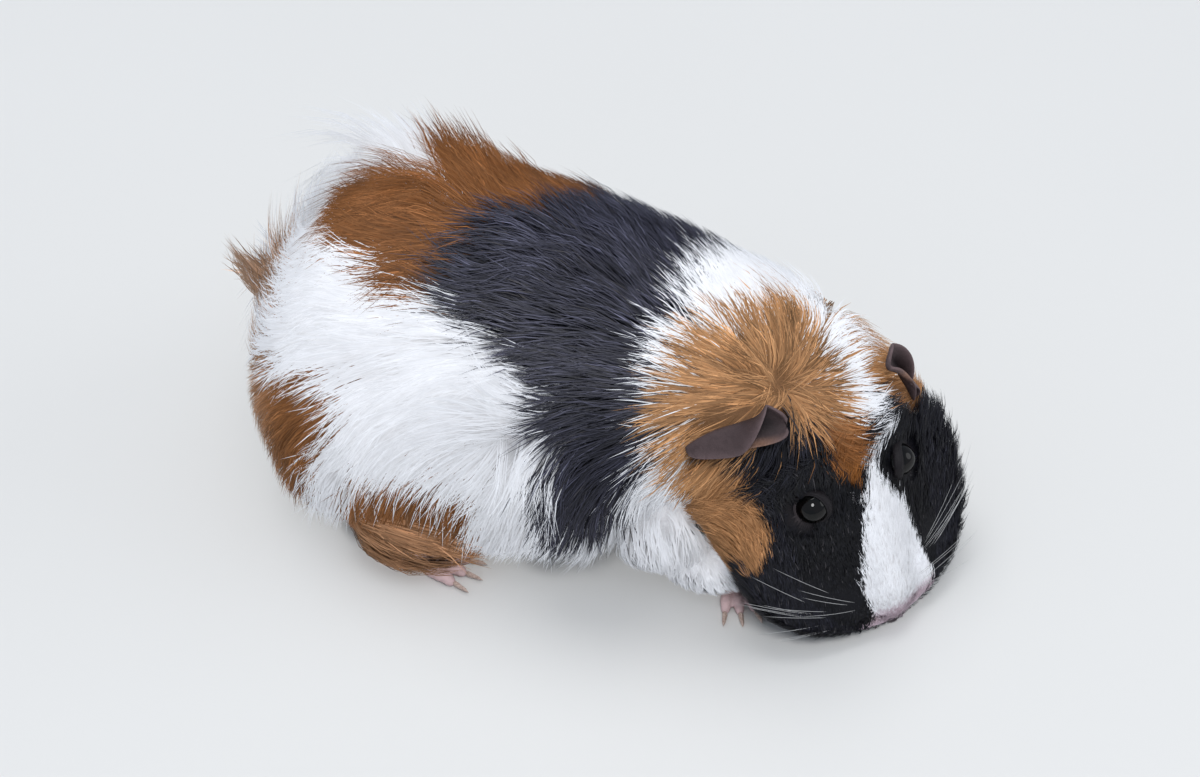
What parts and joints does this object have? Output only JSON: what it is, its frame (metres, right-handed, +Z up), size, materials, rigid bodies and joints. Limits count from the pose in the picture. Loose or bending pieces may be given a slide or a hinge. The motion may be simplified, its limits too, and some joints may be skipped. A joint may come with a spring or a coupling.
{
  "type": "guinea pig",
  "caption": "Guinea pig with a rosetted white, orange-brown and black coat, crouched with its nose down and its head turned to its right; still, life size.",
  "frame": {"origin": "on the floor, in the middle of the box round the whole animal", "axes": "+X along the trunk towards the head, +Y to the left side of the animal, +Z up"},
  "size_m": [0.2408, 0.1302, 0.1102],
  "materials": {
    "coat_white": "soft white fur",
    "coat_brown": "orange-brown fur",
    "coat_black": "black fur",
    "skin_pink": "bare pink skin",
    "ear_skin": "thin dark grey-brown skin",
    "lid_skin": "dark eyelid skin",
    "eye": "wet black eye",
    "claw": "translucent horn",
    "nose_skin": "short-haired pink nose"
  },
  "bodies": {
    "root": {"head": "coat_black", "neck": "coat_brown", "trunk": "coat_white", "nose_pad": "nose_skin", "ear_right": "ear_skin", "eye_right": "eye", "eyelid_right": "lid_skin", "fore_leg_right": "coat_brown", "fore_foot_right": "skin_pink", "claw_fore_right_1": "claw", "claw_fore_right_2": "claw", "claw_fore_right_3": "claw", "claw_fore_right_4": "claw", "hind_leg_right": "coat_brown", "hind_foot_right": "skin_pink", "claw_hind_right_1": "claw", "claw_hind_right_2": "claw", "claw_hind_right_3": "claw", "ear_left": "ear_skin", "eye_left": "eye", "eyelid_left": "lid_skin", "fore_leg_left": "coat_white", "fore_foot_left": "skin_pink", "claw_fore_left_1": "claw", "claw_fore_left_2": "claw", "claw_fore_left_3": "claw", "claw_fore_left_4": "claw", "hind_leg_left": "coat_white", "hind_foot_left": "skin_pink", "claw_hind_left_1": "claw", "claw_hind_left_2": "claw", "claw_hind_left_3": "claw"}
  },
  "joints": []
}
